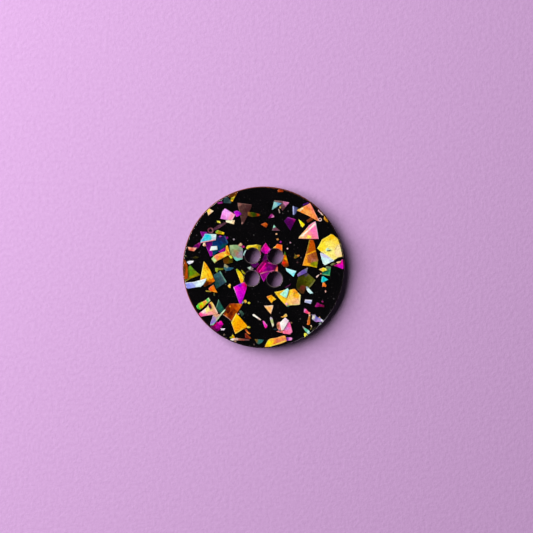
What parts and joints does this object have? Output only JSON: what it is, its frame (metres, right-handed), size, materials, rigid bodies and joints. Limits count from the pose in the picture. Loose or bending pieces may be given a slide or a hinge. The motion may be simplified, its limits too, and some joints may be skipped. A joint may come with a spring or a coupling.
{
  "type": "sewing button",
  "caption": "Flat round sew-through button: clear resin face with iridescent foil shards over a black backing.",
  "frame": {"origin": "centre of the flat back face", "axes": "+Z out of the face side, square to the disc; +X and +Y along the sides of the square the thread holes stand on"},
  "size_m": [0.0254, 0.0254, 0.003],
  "materials": {
    "black_backing": "opaque black cast polyester, polished",
    "clear_resin": "water-clear cast polyester, tumble polished",
    "foil_magenta": "iridescent polyester foil, metallised",
    "foil_violet": "iridescent polyester foil, metallised",
    "foil_maroon": "iridescent polyester foil, metallised",
    "foil_pink": "iridescent polyester foil, metallised",
    "foil_coral": "iridescent polyester foil, metallised",
    "foil_peach": "iridescent polyester foil, metallised",
    "foil_orange": "iridescent polyester foil, metallised",
    "foil_copper": "iridescent polyester foil, metallised",
    "foil_gold": "iridescent polyester foil, metallised",
    "foil_yellow": "iridescent polyester foil, metallised",
    "foil_olive": "iridescent polyester foil, metallised",
    "foil_green": "iridescent polyester foil, metallised",
    "foil_teal": "iridescent polyester foil, metallised",
    "foil_cyan": "iridescent polyester foil, metallised",
    "foil_mint": "iridescent polyester foil, metallised",
    "foil_ice": "iridescent polyester foil, metallised",
    "foil_white": "iridescent polyester foil, metallised",
    "foil_lavender": "iridescent polyester foil, metallised",
    "foil_blue": "iridescent polyester foil, metallised",
    "fine_specks": "iridescent polyester foil, metallised"
  },
  "bodies": {
    "root": {"backing_disc": "black_backing", "clear_face": "clear_resin", "flakes_magenta": "foil_magenta", "flakes_violet": "foil_violet", "flakes_maroon": "foil_maroon", "flakes_pink": "foil_pink", "flakes_coral": "foil_coral", "flakes_peach": "foil_peach", "flakes_orange": "foil_orange", "flakes_copper": "foil_copper", "flakes_gold": "foil_gold", "flakes_yellow": "foil_yellow", "flakes_olive": "foil_olive", "flakes_green": "foil_green", "flakes_teal": "foil_teal", "flakes_cyan": "foil_cyan", "flakes_mint": "foil_mint", "flakes_ice": "foil_ice", "flakes_white": "foil_white", "flakes_lavender": "foil_lavender", "flakes_blue": "foil_blue", "fine_specks": "fine_specks"}
  },
  "joints": []
}
